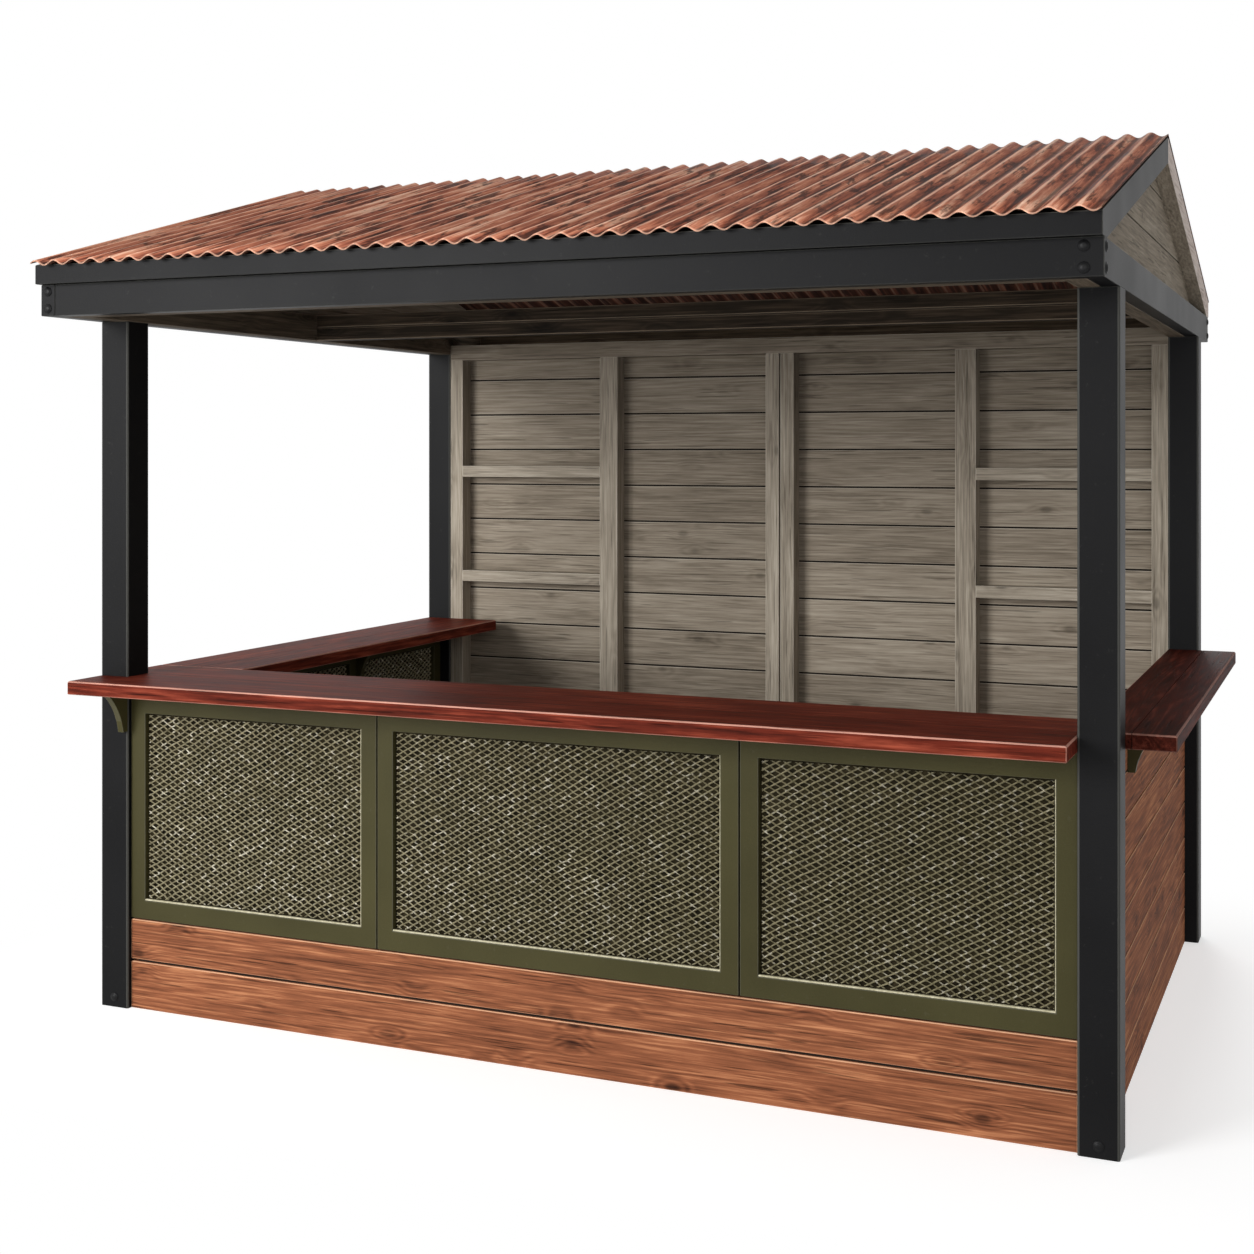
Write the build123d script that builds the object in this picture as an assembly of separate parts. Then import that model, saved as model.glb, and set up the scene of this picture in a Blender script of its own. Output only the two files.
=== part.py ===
from build123d import *

import os
from math import cos, radians, sin, tan

# An open market stall: four posts carry a ring of beams and a corrugated gable roof.
# A boarded wall closes the back, framed mesh panels stand along the front and the left,
# a boarded half wall along the right, and plank counters lie on all three.
# Lengths are millimetres. The front looks along -Y, the roof ridge runs along X.

# Posts. The plan is measured over the posts' outer faces.
stall_width = 3000.0
stall_depth = 2100.0
post_side = 100.0
post_height = 2070.0
post_chamfer = 4.0

# Ring of beams: painted boards outside, plain timber rails inside them.
beam_height = 90.0
beam_thickness = 45.0
ring_overhang = 260.0
tie_beam_width = 55.0

# Eave strips, bargeboards and gables that the roof lies on.
strip_height = 55.0
strip_thickness = 60.0
strip_lead = 25.0
roof_pitch_degrees = 15.8
bargeboard_height = 75.0
gable_thickness = 20.0
ridge_beam_width = 45.0
ridge_beam_height = 95.0

# Corrugated sheets: round crests and valleys joined by straight flanks.
wave_count = 45
wave_depth = 14.0
wave_flank_degrees = 32.0
sheet_thickness = 4.0
sheet_overhang = 20.0
sheet_seat_gap = 0.3

# Back wall: boards outside, studs inside, ledges in its two outer bays.
back_wall_inset = 5.0
back_board_thickness = 20.0
stud_depth = 70.0
corner_stud_width = 55.0
quarter_stud_width = 75.0
centre_stud_width = 55.0
top_plate_height = 60.0
top_plate_rise = 35.0
shelf_thickness = 44.0
upper_shelf_height = 1618.0
lower_shelf_height = 1196.0

# Counters. Heights are to the top face.
counter_height = 1000.0
counter_thickness = 40.0
counter_round = 6.0
front_counter_width = 435.0
front_counter_overhang = 150.0
left_counter_width = 310.0
right_counter_width = 220.0

# Framed mesh panels on a plinth, along the front and the left.
panel_inset = 16.0
frame_thickness = 40.0
stile_width = 52.0
bottom_rail_width = 60.0
top_rail_width = 70.0
frame_chamfer = 8.0
infill_thickness = 8.0
middle_panel_width = 1084.0
left_panel_count = 3
plinth_height = 268.0
plinth_thickness = 30.0

# Boarded half wall along the right.
right_wall_inset = 45.0
right_wall_thickness = 25.0

# Counter brackets: plates with a hollow long edge, from a thin tip to a foot.
bracket_reach = 88.0
bracket_drop = 125.0
bracket_thickness = 20.0
bracket_tip = 6.0
bracket_foot = 20.0
bracket_hollow_share = 0.14
right_bracket_setback = 500.0

# Places worked out from the sizes above. The plan's middle line is x = 0, and y = 0 is
# the front posts' front face.
post_outer_x = stall_width / 2
post_inner_x = post_outer_x - post_side
rear_post_front_y = stall_depth - post_side
middle_y = stall_depth / 2
ring_front_y = -ring_overhang
ring_top = post_height + beam_height
rail_thickness = post_side - beam_thickness
rail_outer_x = post_outer_x - beam_thickness
strip_front_y = ring_front_y - strip_lead
strip_rear_y = strip_front_y + strip_thickness
strip_top = ring_top + strip_height
roof_slope = tan(radians(roof_pitch_degrees))
counter_underside = counter_height - counter_thickness
counter_front_y = -front_counter_overhang
counter_inner_y = counter_front_y + front_counter_width
right_counter_outer_x = post_inner_x + right_counter_width
frame_height = counter_underside - plinth_height
left_panel_width = (rear_post_front_y - post_side) / left_panel_count
left_frame_inner_x = -post_outer_x + panel_inset + frame_thickness
right_wall_outer_x = post_outer_x - right_wall_inset
wall_rear_y = stall_depth - back_wall_inset
stud_rear_y = wall_rear_y - back_board_thickness
stud_front_y = stud_rear_y - stud_depth
top_plate_top = post_height + top_plate_rise
stud_top = top_plate_top - top_plate_height

LOW_CORNER = (Align.MIN, Align.MIN, Align.MIN)
MIDDLE_OF_DEPTH = Plane(origin=(0, middle_y, 0), z_dir=(0, 1, 0))


def roof_height(y):
    """Height of the plane that the front sheet lies on, at the depth y."""
    return strip_top + (y - strip_front_y) * roof_slope


def block(low, high):
    """A squared piece from its low corner to its high corner."""
    size = [b - a for a, b in zip(low, high)]
    return Pos(*low) * Box(*size, align=LOW_CORNER)


def across(points, x, thickness):
    """A plate with an outline of (y, z) points, from x towards +X."""
    outline = make_face(Polyline(*points, close=True))
    return Pos(x, 0, 0) * extrude(Plane.YZ * outline, thickness)


def at_back(piece):
    """The same piece on the other side of the ridge."""
    return mirror(piece, MIDDLE_OF_DEPTH)


def at_other_end(piece):
    """The same piece at the other end of the stall."""
    return mirror(piece, Plane.YZ)


def post():
    """The front right post."""
    timber = block((post_inner_x, 0, 0), (post_outer_x, post_side, post_height))
    return chamfer(timber.edges().filter_by(Axis.Z), post_chamfer)


def ring_board(outer_start, outer_end, inner_end, inner_start):
    """A painted board of the ring on the posts, from its corners in plan."""
    plan = make_face(Polyline(outer_start, outer_end, inner_end, inner_start, close=True))
    return Pos(0, 0, post_height) * extrude(plan, beam_height)


def front_beam():
    """The painted board along the front, mitred to the side boards."""
    rear = ring_front_y + beam_thickness
    return ring_board(
        (-post_outer_x, ring_front_y),
        (post_outer_x, ring_front_y),
        (rail_outer_x, rear),
        (-rail_outer_x, rear),
    )


def right_beam():
    """The painted board along the right, mitred to the front and back boards."""
    ring_back_y = stall_depth - ring_front_y
    inner_front_y = ring_front_y + beam_thickness
    inner_back_y = ring_back_y - beam_thickness
    return ring_board(
        (post_outer_x, ring_front_y),
        (post_outer_x, ring_back_y),
        (rail_outer_x, inner_back_y),
        (rail_outer_x, inner_front_y),
    )


def front_rail():
    """The timber rail behind the front board."""
    front = ring_front_y + beam_thickness
    low = (-post_inner_x, front, post_height)
    return block(low, (post_inner_x, front + rail_thickness, ring_top))


def right_rail():
    """The timber rail inside the right board, on the posts."""
    front = ring_front_y + beam_thickness
    low = (post_inner_x, front, post_height)
    return block(low, (rail_outer_x, stall_depth - front, ring_top))


def tie_beam():
    """The timber across the middle, from rail to rail."""
    half = tie_beam_width / 2
    low = (-post_inner_x, middle_y - half, post_height)
    return block(low, (post_inner_x, middle_y + half, ring_top))


def mitre_wedge(third_corner):
    """What a mitre takes off at the ring's front right corner, on one side of its diagonal."""
    outer_corner = (post_outer_x, strip_front_y)
    inner_corner = (rail_outer_x, strip_rear_y)
    plan = make_face(Polyline(outer_corner, inner_corner, third_corner, close=True))
    return Pos(0, 0, ring_top) * extrude(plan, roof_height(middle_y) - ring_top)


def eave_strip():
    """The strip on the front beam: its top follows the roof, its ends are mitred to the bargeboards."""
    outline = [
        (strip_front_y, ring_top),
        (strip_rear_y, ring_top),
        (strip_rear_y, roof_height(strip_rear_y)),
        (strip_front_y, strip_top),
    ]
    wedge = mitre_wedge((post_outer_x, strip_rear_y))
    return across(outline, -post_outer_x, stall_width) - wedge - at_other_end(wedge)


def bargeboard():
    """The right bargeboard of the front slope, from the eave strip to a plumb cut at the ridge.

    A level seat cut lets its lower end lie on the side beam."""
    seat_end_y = strip_front_y + (bargeboard_height - strip_height) / roof_slope
    outline = [
        (strip_front_y, ring_top),
        (seat_end_y, ring_top),
        (middle_y, roof_height(middle_y) - bargeboard_height),
        (middle_y, roof_height(middle_y)),
        (strip_front_y, strip_top),
    ]
    return across(outline, rail_outer_x, beam_thickness) - mitre_wedge((rail_outer_x, strip_front_y))


def gable():
    """The right gable's boarding, on the rail and inside the bargeboards."""
    rear = stall_depth - strip_rear_y
    outline = [
        (strip_rear_y, ring_top),
        (rear, ring_top),
        (rear, roof_height(strip_rear_y)),
        (middle_y, roof_height(middle_y)),
        (strip_rear_y, roof_height(strip_rear_y)),
    ]
    return across(outline, rail_outer_x - gable_thickness, gable_thickness)


def ridge_beam():
    """The ridge timber from gable to gable, with both slopes planed on its top."""
    half = ridge_beam_width / 2
    underside = roof_height(middle_y) - ridge_beam_height
    shoulder = roof_height(middle_y - half)
    outline = [
        (middle_y - half, underside),
        (middle_y + half, underside),
        (middle_y + half, shoulder),
        (middle_y, roof_height(middle_y)),
        (middle_y - half, shoulder),
    ]
    inner_x = rail_outer_x - gable_thickness
    return across(outline, -inner_x, inner_x + inner_x)


def wave_line():
    """The sheet's wave across the whole width, as (x, z): a zigzag with every corner rounded.

    The corners' radius leaves just the wave's depth between the rounded crests and valleys."""
    half_wave = stall_width / wave_count / 2
    flank = radians(wave_flank_degrees)
    radius = (half_wave * sin(flank) - wave_depth * cos(flank)) / (2 - 2 * cos(flank))
    swing = half_wave / 2 * tan(flank)
    zigzag = [(-post_outer_x, 0)]
    for index in range(wave_count + wave_count):
        corner_x = -post_outer_x + (index + 1 / 2) * half_wave
        zigzag.append((corner_x, swing if index % 2 == 0 else -swing))
    return FilletPolyline(*zigzag, (post_outer_x, 0), radius=radius)


def roof_sheet():
    """The front slope's sheet: the wave across the eave, drawn up the slope to a plumb ridge cut."""
    lower = wave_line()
    upper = Pos(0, sheet_thickness, 0) * lower
    ends = [Line(lower @ end, upper @ end) for end in (0, 1)]
    section = Plane.XZ * make_face([lower, upper] + ends)
    eave_y = strip_front_y - sheet_overhang
    run = middle_y - eave_y
    eave = Pos(0, eave_y, roof_height(eave_y) + sheet_seat_gap + wave_depth / 2)
    return Solid.extrude(eave * section.face(), Vector(0, run, run * roof_slope))


def back_boards():
    """The right half of the back wall's boarding."""
    return block((0, stud_rear_y, 0), (post_inner_x, wall_rear_y, top_plate_top))


def stud(left, width):
    """One stud of the back wall, from its left face."""
    return block((left, stud_front_y, 0), (left + width, stud_rear_y, stud_top))


def stud_places():
    """The left faces of the right half's studs: centre, quarter and corner."""
    corner = post_inner_x - corner_stud_width
    clear = corner - centre_stud_width - quarter_stud_width
    return [0, centre_stud_width + clear / 2, corner]


def back_studs():
    """The three studs of the back wall's right half."""
    widths = [centre_stud_width, quarter_stud_width, corner_stud_width]
    return [stud(left, width) for left, width in zip(stud_places(), widths)]


def top_plate():
    """The plate along the top of the back wall."""
    low = (-post_inner_x, stud_front_y, stud_top)
    return block(low, (post_inner_x, stud_rear_y, top_plate_top))


def shelves():
    """The two ledges between the right half's quarter and corner studs."""
    start = stud_places()[1] + quarter_stud_width
    end = stud_places()[2]
    ledges = []
    for top in (upper_shelf_height, lower_shelf_height):
        low = (start, stud_front_y, top - shelf_thickness)
        ledges.append(block(low, (end, stud_rear_y, top)))
    return ledges


def counter(low_x, high_x, low_y, high_y):
    """A counter top with its upper edges rounded over."""
    top = block((low_x, low_y, counter_underside), (high_x, high_y, counter_height))
    return fillet(top.faces().sort_by(Axis.Z)[-1].edges(), counter_round)


def front_counter():
    """The front counter, notched round the front left post."""
    top = counter(-post_outer_x, post_inner_x, counter_front_y, counter_inner_y)
    notch = block((-post_outer_x, 0, counter_underside), (-post_inner_x, post_side, counter_height))
    return top - notch


def panel_frame(width):
    """A panel's frame, standing on x = 0 with its face at y = 0, bevelled round the opening."""
    outer = block((0, 0, 0), (width, frame_thickness, frame_height))
    opening_low = (stile_width, 0, bottom_rail_width)
    opening_high = (width - stile_width, frame_thickness, frame_height - top_rail_width)
    frame = outer - block(opening_low, opening_high)
    faces = frame.faces().filter_by(Axis.Y).sort_by(Axis.Y)
    inner_edges = [edge for face in (faces[0], faces[-1]) for edge in face.inner_wires()[0].edges()]
    return chamfer(inner_edges, frame_chamfer)


def panel_infill(width):
    """The sheet inside a panel's frame, at the middle of its thickness."""
    front = (frame_thickness - infill_thickness) / 2
    low = (stile_width, front, bottom_rail_width)
    high = (width - stile_width, front + infill_thickness, frame_height - top_rail_width)
    return block(low, high)


def front_panel_bays():
    """The left side and the width of each front panel."""
    side_width = post_inner_x - middle_panel_width / 2
    return {
        "left": (-post_inner_x, side_width),
        "middle": (-middle_panel_width / 2, middle_panel_width),
        "right": (middle_panel_width / 2, side_width),
    }


def left_panel_place(index):
    """Where the left side's panel stands: its face turned to -X, counted from the front."""
    front_y = post_side + (index + 1) * left_panel_width
    return Pos(-post_outer_x + panel_inset, front_y, plinth_height) * Rot(0, 0, -90)


def bracket():
    """A bracket plate in the XZ plane: its back on x = 0, its top on z = 0, centred on y."""
    bow = bracket_hollow_share * (bracket_reach - bracket_foot)
    tip = (bracket_reach, -bracket_tip)
    foot = (bracket_foot, -bracket_drop)
    hollow = ((tip[0] + foot[0]) / 2 - bow, (tip[1] + foot[1]) / 2 + bow)
    outline = [
        Polyline(foot, (0, -bracket_drop), (0, 0), (bracket_reach, 0), tip),
        ThreePointArc(tip, hollow, foot),
    ]
    plate = Plane.XZ * make_face(outline)
    return Pos(0, bracket_thickness / 2, 0) * extrude(plate, bracket_thickness)


def brackets():
    """The brackets under the counters: on the front left post, the right wall and the left panels."""
    half = bracket_thickness / 2
    plates = [
        Pos(-post_inner_x - half, 0, counter_underside) * Rot(0, 0, -90) * bracket(),
        Pos(right_wall_outer_x, right_bracket_setback, counter_underside) * bracket(),
    ]
    for index in range(1, left_panel_count):
        joint_y = post_side + index * left_panel_width
        plates.append(Pos(left_frame_inner_x, joint_y, counter_underside) * bracket())
    return plates


def build_stall():
    """Every piece of the stall, by node name. A list is one node of separate pieces."""
    stall = {}

    stall["post_front_right"] = post()
    stall["post_front_left"] = at_other_end(post())
    stall["post_back_right"] = at_back(post())
    stall["post_back_left"] = at_back(at_other_end(post()))

    stall["front_beam"] = front_beam()
    stall["back_beam"] = at_back(front_beam())
    stall["right_beam"] = right_beam()
    stall["left_beam"] = at_other_end(right_beam())
    stall["front_rail"] = front_rail()
    stall["back_rail"] = at_back(front_rail())
    stall["right_rail"] = right_rail()
    stall["left_rail"] = at_other_end(right_rail())
    stall["tie_beam"] = tie_beam()

    stall["front_eave_strip"] = eave_strip()
    stall["back_eave_strip"] = at_back(eave_strip())
    stall["bargeboard_front_right"] = bargeboard()
    stall["bargeboard_front_left"] = at_other_end(bargeboard())
    stall["bargeboard_back_right"] = at_back(bargeboard())
    stall["bargeboard_back_left"] = at_back(at_other_end(bargeboard()))
    stall["gable_right"] = gable()
    stall["gable_left"] = at_other_end(gable())
    stall["ridge_beam"] = ridge_beam()
    stall["roof_sheet_front"] = roof_sheet()
    stall["roof_sheet_back"] = at_back(roof_sheet())

    stall["back_wall_right_boards"] = back_boards()
    stall["back_wall_left_boards"] = at_other_end(back_boards())
    stall["back_wall_right_studs"] = back_studs()
    stall["back_wall_left_studs"] = [at_other_end(piece) for piece in back_studs()]
    stall["back_wall_top_plate"] = top_plate()
    stall["back_wall_shelves"] = shelves() + [at_other_end(ledge) for ledge in shelves()]

    infills = []
    for bay, (left, width) in front_panel_bays().items():
        place = Pos(left, panel_inset, plinth_height)
        stall[f"front_panel_{bay}"] = place * panel_frame(width)
        infills.append(place * panel_infill(width))
    stall["front_mesh"] = infills
    for index in range(left_panel_count):
        stall[f"left_panel_{index + 1}"] = left_panel_place(index) * panel_frame(left_panel_width)
    stall["left_mesh"] = [
        left_panel_place(index) * panel_infill(left_panel_width) for index in range(left_panel_count)
    ]
    plinth_back = panel_inset + plinth_thickness
    stall["front_plinth"] = block(
        (-post_inner_x, panel_inset, 0),
        (post_inner_x, plinth_back, plinth_height),
    )
    stall["left_plinth"] = block(
        (-post_outer_x + panel_inset, post_side, 0),
        (-post_outer_x + plinth_back, rear_post_front_y, plinth_height),
    )
    stall["right_wall"] = block(
        (right_wall_outer_x - right_wall_thickness, post_side, 0),
        (right_wall_outer_x, rear_post_front_y, counter_underside),
    )

    stall["front_counter"] = front_counter()
    left_inner_x = -post_outer_x + left_counter_width
    stall["left_counter"] = counter(-post_outer_x, left_inner_x, counter_inner_y, rear_post_front_y)
    stall["right_counter"] = counter(post_inner_x, right_counter_outer_x, post_side, rear_post_front_y)
    stall["counter_brackets"] = brackets()
    return stall


def write_stall():
    """Writes one file a node, with the origin under the middle of the whole stall's box."""
    os.makedirs("parts", exist_ok=True)
    widest_right_x = max(right_counter_outer_x, post_outer_x)
    to_origin = Pos((post_outer_x - widest_right_x) / 2, -middle_y, 0)
    for name, piece in build_stall().items():
        solids = piece if isinstance(piece, list) else [piece]
        placed = [to_origin * solid for solid in solids]
        export_step(placed[0] if len(placed) == 1 else Compound(children=placed), f"parts/{name}.step")


write_stall()
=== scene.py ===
# %% [markdown]
# # A wooden market stall
# The stall's solids come in as a fixed frame: posts, beams, roof sheets, panels, walls and counters, each
# at its true place in metres. This lesson dresses that frame. Flat slabs are cut into boards, sharp timber
# gets soft edges, the panels get woven wire, and every surface gets a finish made of shader nodes.

# %% Load the frame
import math
import random

import bmesh
import bpy
from mathutils import Matrix, Vector
from mathutils.noise import noise_vector, seed_set


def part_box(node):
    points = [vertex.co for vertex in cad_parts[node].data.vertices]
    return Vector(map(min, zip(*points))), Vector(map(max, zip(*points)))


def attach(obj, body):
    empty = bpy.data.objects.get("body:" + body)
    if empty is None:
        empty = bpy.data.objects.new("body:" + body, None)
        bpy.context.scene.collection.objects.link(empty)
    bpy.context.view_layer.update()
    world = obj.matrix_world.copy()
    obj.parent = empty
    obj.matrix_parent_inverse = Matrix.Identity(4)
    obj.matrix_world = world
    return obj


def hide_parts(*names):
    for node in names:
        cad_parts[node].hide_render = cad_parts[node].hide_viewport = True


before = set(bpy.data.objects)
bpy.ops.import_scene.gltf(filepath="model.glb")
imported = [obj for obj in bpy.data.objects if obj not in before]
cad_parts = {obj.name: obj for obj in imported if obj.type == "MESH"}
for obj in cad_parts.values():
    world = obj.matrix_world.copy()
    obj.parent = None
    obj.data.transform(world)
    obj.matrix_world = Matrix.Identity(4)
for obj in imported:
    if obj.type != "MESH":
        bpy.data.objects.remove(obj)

for spare in ("Cube", "Light", "Camera"):
    if spare in bpy.data.objects:
        bpy.data.objects.remove(bpy.data.objects[spare])
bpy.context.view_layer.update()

# %% [markdown]
# ## The camera
# The photograph looks at the stall's front from its right, with every upright drawn upright. A camera held
# level gives that. Its picture is then slid down with the lens shift, as on a view camera, instead of
# tilting the camera, which would make the posts lean.

# %% Place the camera
PHOTO_SIDE = 1254
FOCAL_PIXELS = 1754
HORIZON_ROW = 449.5
lens = bpy.data.cameras.new("stall_camera")
lens.sensor_width = 36
lens.lens = lens.sensor_width * FOCAL_PIXELS / PHOTO_SIDE
lens.shift_y = (HORIZON_ROW - PHOTO_SIDE / 2) / PHOTO_SIDE
camera = bpy.data.objects.new("stall_camera", lens)
camera.location = (1.994, -5.317, 1.684)
camera.rotation_euler = (math.radians(90), 0, math.radians(23.1))
bpy.context.collection.objects.link(camera)
bpy.context.scene.camera = camera
print("lens", round(lens.lens, 2), "shift", round(lens.shift_y, 4))

# %% [markdown]
# ## Shader sums in plain Python
# A finish is a net of nodes. Wired by hand, a sum of three terms takes four calls. Here one small class
# wraps a socket, so that `1 - mask * 0.3` adds the Math nodes by itself. Its `add` method makes any other
# node: settings first, because some of them change which sockets exist, then values or links.

# %% The socket wrapper
class Finish:
    """A socket of a material. Sums written with it add Math nodes."""

    def __init__(self, tree, socket=None):
        self.tree = tree
        self.socket = socket

    def add(self, kind, settings, inputs, out=0):
        """A node of any kind, as one of its output sockets."""
        node = self.tree.nodes.new(kind)
        for name, value in settings.items():
            if name == "stops":
                set_stops(node.color_ramp, value)
            else:
                setattr(node, name, value)
        for name, value in inputs.items():
            if isinstance(value, Finish):
                self.tree.links.new(value.socket, node.inputs[name])
            else:
                node.inputs[name].default_value = value
        return Finish(self.tree, node.outputs[out] if node.outputs else None)

    def maths(self, operation, *values):
        return self.add("ShaderNodeMath", {"operation": operation}, dict(enumerate(values)))

    def sine(self):
        return self.maths("SINE", self)

    def __add__(self, other):
        return self.maths("ADD", self, other)

    def __sub__(self, other):
        return self.maths("SUBTRACT", self, other)

    def __rsub__(self, other):
        return self.maths("SUBTRACT", other, self)

    def __mul__(self, other):
        return self.maths("MULTIPLY", self, other)

    __radd__ = __add__
    __rmul__ = __mul__


def set_stops(ramp, stops):
    """Gives a colour ramp its stops, as (place, colour) pairs."""
    while len(ramp.elements) < len(stops):
        ramp.elements.new(1)
    for element, (place, colour) in zip(ramp.elements, stops):
        element.position = place
        element.color = colour


# %% Colours as they look on screen
def seen(red, green, blue):
    """A colour read off a picture, 0 to 255, as the light amounts that shaders use."""
    parts = [channel / 255 for channel in (red, green, blue)]
    return tuple(c / 12.92 if c <= 0.04045 else ((c + 0.055) / 1.055) ** 2.4 for c in parts) + (1,)


print("mid grey as light", [round(part, 3) for part in seen(128, 128, 128)])

# %% [markdown]
# ## Patterns that the finishes share
# Every pattern reads Object coordinates, which are metres here, so a grain line has its true size. Timber
# differs from board to board, so each board carries a number of its own in an attribute called `board`.
# Adding a large multiple of it to the coordinates gives each board its own piece of the pattern. A second
# attribute, `arris`, marks the narrow faces of rounded edges, which turn pale: partly wear, partly a painted
# highlight that is fainter where an edge looks down.

# %% Pattern helpers
GRAIN = {"x": 0, "y": 1, "z": 2}


def start_material(name):
    """A new material and a wrapper for its node tree."""
    material = bpy.data.materials.new(name)
    material.use_nodes = True
    material.node_tree.nodes.clear()
    return material, Finish(material.node_tree)


def place(tree):
    """Object coordinates, each board's own number, and the coordinates slid along by it."""
    spot = tree.add("ShaderNodeTexCoord", {}, {}, out=3)
    board = tree.add("ShaderNodeAttribute", {"attribute_name": "board"}, {}, out=2)
    slide = tree.add("ShaderNodeCombineXYZ", {}, {0: board * 31, 1: board * 47, 2: board * 23})
    slid = tree.add("ShaderNodeVectorMath", {"operation": "ADD"}, {0: spot, 1: slide})
    return spot, board, slid


def arris(tree):
    """1 on the narrow faces of a rounded edge, 0 elsewhere."""
    return tree.add("ShaderNodeAttribute", {"attribute_name": "arris"}, {}, out=2)


def stretched(tree, spot, grain, along, across):
    """Coordinates that run slowly along the grain and fast across it."""
    rates = [across, across, across]
    rates[GRAIN[grain]] = along
    return tree.add("ShaderNodeVectorMath", {"operation": "MULTIPLY"}, {0: spot, 1: rates})


def noise(tree, spot, scale=1.0, detail=3.0, rough=0.5, bent=0.0):
    """Noise from 0 to 1 about 0.5."""
    inputs = {"Vector": spot, "Scale": scale, "Detail": detail, "Roughness": rough, "Distortion": bent}
    return tree.add("ShaderNodeTexNoise", {}, inputs)


def between(tree, value, low, high):
    """0 below low, 1 above high, smooth between. Low may be the higher one."""
    settings = {"interpolation_type": "SMOOTHSTEP"}
    flip = low > high
    inputs = {"Value": value, "From Min": min(low, high), "From Max": max(low, high)}
    inputs.update({"To Min": 1.0 if flip else 0.0, "To Max": 0.0 if flip else 1.0})
    return tree.add("ShaderNodeMapRange", settings, inputs)


def mixed(tree, factor, first, second):
    """The first colour where the factor is 0, the second where it is 1."""
    settings = {"data_type": "RGBA", "clamp_factor": True}
    return tree.add("ShaderNodeMix", settings, {0: factor, 6: first, 7: second}, out=2)


def ramp(tree, factor, *stops):
    """A colour along a ramp of (place, colour) stops."""
    return tree.add("ShaderNodeValToRGB", {"stops": stops}, {"Fac": factor})


def surface(tree, colour, rough, height, depth, mirror):
    """The shader itself: colour, roughness, a bump of that depth in metres and how much it mirrors."""
    bump = tree.add("ShaderNodeBump", {}, {"Strength": 1.0, "Distance": depth, "Height": height})
    inputs = {"Base Color": colour, "Roughness": rough, "Normal": bump, "Specular IOR Level": mirror}
    shader = tree.add("ShaderNodeBsdfPrincipled", {}, inputs)
    tree.add("ShaderNodeOutputMaterial", {}, {"Surface": shader})


print("grain directions", sorted(GRAIN))

# %% [markdown]
# ## Satin paint
# Posts and beams are painted charcoal, and the panel frames and brackets olive. Paint is never one colour:
# it is a little cloudy, its gloss changes, it is scuffed here and there, and it has a fine skin. Three
# noises of very different sizes give that. The largest clouds the colour and the gloss, the middle one
# gives the scuffs, and the finest is the skin.

# %% Charcoal and olive paint
def paint(name, dark, light, rough, wear_and_highlight):
    """Satin paint on timber, clouded between two colours."""
    material, tree = start_material(name)
    board, slid = place(tree)[1:]
    cloud = noise(tree, slid, scale=2.3, detail=2.0, rough=0.6)
    skin = noise(tree, slid, scale=260.0, detail=2.0)
    scuff = between(tree, noise(tree, slid, scale=38.0, detail=3.0, rough=0.75), 0.64, 0.74)
    tone = cloud * 0.8 + skin * 0.15 + board * 0.2 - 0.1
    colour = ramp(tree, tone, (0.25, dark), (0.8, light))
    # Rounded edges turn pale, partly wear and partly a painted highlight; the scuffs are wear.
    rubbed_and_lit = tree.maths("MAXIMUM", scuff * 0.03, arris(tree) * wear_and_highlight)
    colour = mixed(tree, rubbed_and_lit, colour, seen(150, 150, 142))
    surface(tree, colour, rough + cloud * 0.22 - 0.08, skin, 0.0003, mirror=0.085)
    return material


charcoal = paint("charcoal_paint", seen(14, 14, 15), seen(23, 23, 24), 0.44, 0.16)
olive = paint("olive_paint", seen(54, 51, 29), seen(72, 68, 41), 0.44, 0.12)
print("paints", charcoal.name, olive.name)

# %% [markdown]
# ## Timber
# Boards show long fibres, growth lines that bend round knots, stains, and a few cracks. Fibres are noise
# pulled out along the grain, and cracks and pale flecks lie where a second such noise is lowest and
# highest. Growth lines come from slow noise sent through a sine, as contour lines come from a hill. Knots
# are the small hearts of scattered cells, and raise the hill a little so that the lines run round them. A
# board's own number shifts its tone. The back wall and its studs get a painted shade that darkens them the
# higher they reach under the roof, so their finish also reads the height above the ground.

# %% Timber finish
# Painted shade of the roof on the back wall: where it starts, where it is full, and how strong.
TOP_SHADE_START = 1.3
TOP_SHADE_END = 2.15
TOP_SHADE = 0.32


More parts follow.
